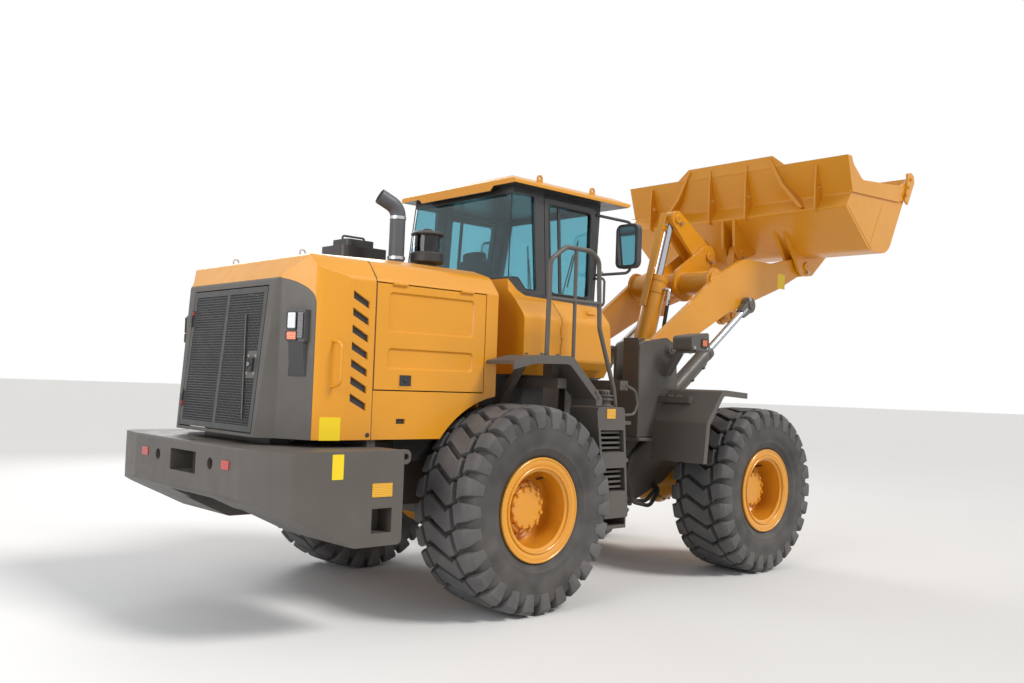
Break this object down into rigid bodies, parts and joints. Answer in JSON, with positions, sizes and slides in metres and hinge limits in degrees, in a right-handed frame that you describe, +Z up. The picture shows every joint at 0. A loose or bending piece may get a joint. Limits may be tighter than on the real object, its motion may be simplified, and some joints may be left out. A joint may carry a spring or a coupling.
{
  "type": "articulated wheel loader",
  "caption": "Articulated wheel loader with a cab, a raised lifting boom on Z-bar linkage and a wide racked bucket.",
  "frame": {"origin": "on the floor, at the middle of the whole machine's length and width", "axes": "+X forward to the bucket, +Y left, +Z up"},
  "size_m": [7.932, 2.98, 4.388],
  "materials": {
    "yellow_paint": "satin enamel",
    "grey_paint": "satin enamel",
    "black_paint": "satin",
    "window_glass": "tinted",
    "chromed_rod": "polished",
    "exhaust_steel": "heat dulled",
    "seat_cover": "woven",
    "engine_iron": "painted casting",
    "tyre_rubber": "matt",
    "rim_paint": "satin enamel"
  },
  "bodies": {
    "rear_frame": {"rear_chassis": "grey_paint", "rear_axle": "yellow_paint", "engine_block": "engine_iron", "radiator": "black_paint", "counterweight": "grey_paint", "hood_shell": "yellow_paint", "hood_lower_panels": "yellow_paint", "grille_surround": "grey_paint", "rear_fenders": "grey_paint", "step_ladders": "grey_paint", "handrails": "grey_paint", "cab_platform": "grey_paint", "rear_lamps": "black_paint", "cab_body": "yellow_paint", "cab_roof": "yellow_paint", "cab_glass": "window_glass", "seat": "seat_cover", "steering_console": "black_paint", "mirrors": "black_paint", "exhaust_stack": "exhaust_steel", "air_precleaner": "black_paint", "hood_box": "black_paint"},
    "grille_door": {"grille_door": "black_paint"},
    "hood_side_door_left": {"hood_side_door_left": "yellow_paint"},
    "hood_side_door_right": {"hood_side_door_right": "yellow_paint"},
    "cab_door_left": {"cab_door_left": "yellow_paint", "door_glass_left": "window_glass"},
    "cab_door_right": {"cab_door_right": "yellow_paint", "door_glass_right": "window_glass"},
    "front_frame": {"front_chassis": "grey_paint", "front_axle": "yellow_paint", "front_fenders": "grey_paint", "front_lamps": "grey_paint"},
    "boom": {"boom": "yellow_paint"},
    "bellcrank": {"bellcrank": "yellow_paint"},
    "link": {"link": "yellow_paint"},
    "bucket": {"bucket": "yellow_paint"},
    "tilt_barrel": {"tilt_barrel": "yellow_paint"},
    "tilt_rod": {"tilt_rod": "chromed_rod"},
    "lift_barrels": {"lift_barrels": "grey_paint"},
    "lift_rods": {"lift_rods": "chromed_rod"},
    "steering_barrel_left": {"steering_barrel_left": "yellow_paint"},
    "steering_barrel_right": {"steering_barrel_right": "yellow_paint"},
    "steering_rod_left": {"steering_rod_left": "chromed_rod"},
    "steering_rod_right": {"steering_rod_right": "chromed_rod"},
    "wheel_rear_left": {"tyre_rear_left": "tyre_rubber", "rim_rear_left": "rim_paint"},
    "wheel_rear_right": {"tyre_rear_right": "tyre_rubber", "rim_rear_right": "rim_paint"},
    "wheel_front_left": {"tyre_front_left": "tyre_rubber", "rim_front_left": "rim_paint"},
    "wheel_front_right": {"tyre_front_right": "tyre_rubber", "rim_front_right": "rim_paint"}
  },
  "joints": [
    {"name": "steering", "type": "hinge", "parent": "rear_frame", "child": "front_frame", "pos_m": [-0.261, 0, 0.95], "axis": [0, 0, 1], "range_deg": [-35, 35]},
    {"name": "wheel_rear_left_spin", "type": "hinge", "parent": "rear_frame", "child": "wheel_rear_left", "pos_m": [-1.786, 1.1, 0.785], "axis": [0, 1, 0], "continuous": true},
    {"name": "wheel_rear_right_spin", "type": "hinge", "parent": "rear_frame", "child": "wheel_rear_right", "pos_m": [-1.786, -1.1, 0.785], "axis": [0, 1, 0], "continuous": true},
    {"name": "wheel_front_left_spin", "type": "hinge", "parent": "front_frame", "child": "wheel_front_left", "pos_m": [1.264, 1.1, 0.785], "axis": [0, 1, 0], "continuous": true},
    {"name": "wheel_front_right_spin", "type": "hinge", "parent": "front_frame", "child": "wheel_front_right", "pos_m": [1.264, -1.1, 0.785], "axis": [0, 1, 0], "continuous": true},
    {"name": "boom_lift", "type": "hinge", "parent": "front_frame", "child": "boom", "pos_m": [0.514, 0, 2.1], "axis": [0, -1, 0], "range_deg": [-62, 21]},
    {"name": "bucket_tilt", "type": "hinge", "parent": "boom", "child": "bucket", "pos_m": [3.144, 0, 3.205], "axis": [0, 1, 0], "range_deg": [0, 126]},
    {"name": "bellcrank_turn", "type": "hinge", "parent": "boom", "child": "bellcrank", "pos_m": [1.944, 0, 3.21], "axis": [0, -1, 0], "range_deg": [-0.5, 46.77]},
    {"name": "link_turn", "type": "hinge", "parent": "bellcrank", "child": "link", "pos_m": [2.514, 0, 2.6], "axis": [0, 1, 0], "range_deg": [-0.5, 90.46]},
    {"name": "tilt_cylinder_swing", "type": "hinge", "parent": "front_frame", "child": "tilt_barrel", "pos_m": [0.864, 0, 1.7], "axis": [0, -1, 0], "range_deg": [-59.95, 20.64]},
    {"name": "tilt_cylinder_stroke", "type": "slide", "parent": "tilt_barrel", "child": "tilt_rod", "axis": [0.2916, 0, 0.9565], "range_m": [-0.5299, 0.1795]},
    {"name": "lift_cylinders_swing", "type": "hinge", "parent": "front_frame", "child": "lift_barrels", "pos_m": [0.476, 0, 1.535], "axis": [0, -1, 0], "range_deg": [-57.42, 19.78]},
    {"name": "lift_cylinders_stroke", "type": "slide", "parent": "lift_barrels", "child": "lift_rods", "axis": [0.8057, 0, 0.5924], "range_m": [-0.5078, 0.1721]},
    {"name": "steering_cylinder_left_swing", "type": "hinge", "parent": "rear_frame", "child": "steering_barrel_left", "pos_m": [-0.661, 0.34, 0.95], "axis": [0, 0, 1], "range_deg": [-20.23, 20.23]},
    {"name": "steering_cylinder_left_stroke", "type": "slide", "parent": "steering_barrel_left", "child": "steering_rod_left", "axis": [0.9991, -0.0434, 0], "range_m": [-0.1988, 0.1988]},
    {"name": "steering_cylinder_right_swing", "type": "hinge", "parent": "rear_frame", "child": "steering_barrel_right", "pos_m": [-0.661, -0.34, 0.95], "axis": [0, 0, 1], "range_deg": [-20.23, 20.23]},
    {"name": "steering_cylinder_right_stroke", "type": "slide", "parent": "steering_barrel_right", "child": "steering_rod_right", "axis": [0.9991, 0.0434, 0], "range_m": [-0.1988, 0.1988]},
    {"name": "hood_side_door_left_lift", "type": "hinge", "parent": "rear_frame", "child": "hood_side_door_left", "pos_m": [-2.556, 0.975, 2.396], "axis": [1, 0, 0], "range_deg": [0, 80]},
    {"name": "cab_door_left_swing", "type": "hinge", "parent": "rear_frame", "child": "cab_door_left", "pos_m": [-1.17, 0.935, 2.08], "axis": [0, 0, 1], "range_deg": [0, 40]},
    {"name": "hood_side_door_right_lift", "type": "hinge", "parent": "rear_frame", "child": "hood_side_door_right", "pos_m": [-2.556, -0.975, 2.396], "axis": [-1, 0, 0], "range_deg": [0, 80]},
    {"name": "cab_door_right_swing", "type": "hinge", "parent": "rear_frame", "child": "cab_door_right", "pos_m": [-1.17, -0.935, 2.08], "axis": [0, 0, -1], "range_deg": [0, 40]},
    {"name": "grille_door_swing", "type": "hinge", "parent": "rear_frame", "child": "grille_door", "pos_m": [-3.76048, 0.564, 1.33], "axis": [-0.0838, 0, -0.9965], "range_deg": [0, 100]}
  ],
  "couplings": [
    {"joint": "bellcrank_turn", "follows": "bucket_tilt", "ratio": 0.36},
    {"joint": "link_turn", "follows": "bucket_tilt", "ratio": 0.7},
    {"joint": "tilt_cylinder_swing", "follows": "boom_lift", "ratio": 0.94},
    {"joint": "tilt_cylinder_stroke", "follows": "boom_lift", "m_per_rad": 0.48},
    {"joint": "lift_cylinders_swing", "follows": "boom_lift", "ratio": 0.9},
    {"joint": "lift_cylinders_stroke", "follows": "boom_lift", "m_per_rad": 0.46},
    {"joint": "steering_cylinder_left_swing", "follows": "steering", "ratio": 0.55272},
    {"joint": "steering_cylinder_left_stroke", "follows": "steering", "m_per_rad": -0.31891},
    {"joint": "steering_cylinder_right_swing", "follows": "steering", "ratio": 0.55272},
    {"joint": "steering_cylinder_right_stroke", "follows": "steering", "m_per_rad": 0.31891}
  ]
}
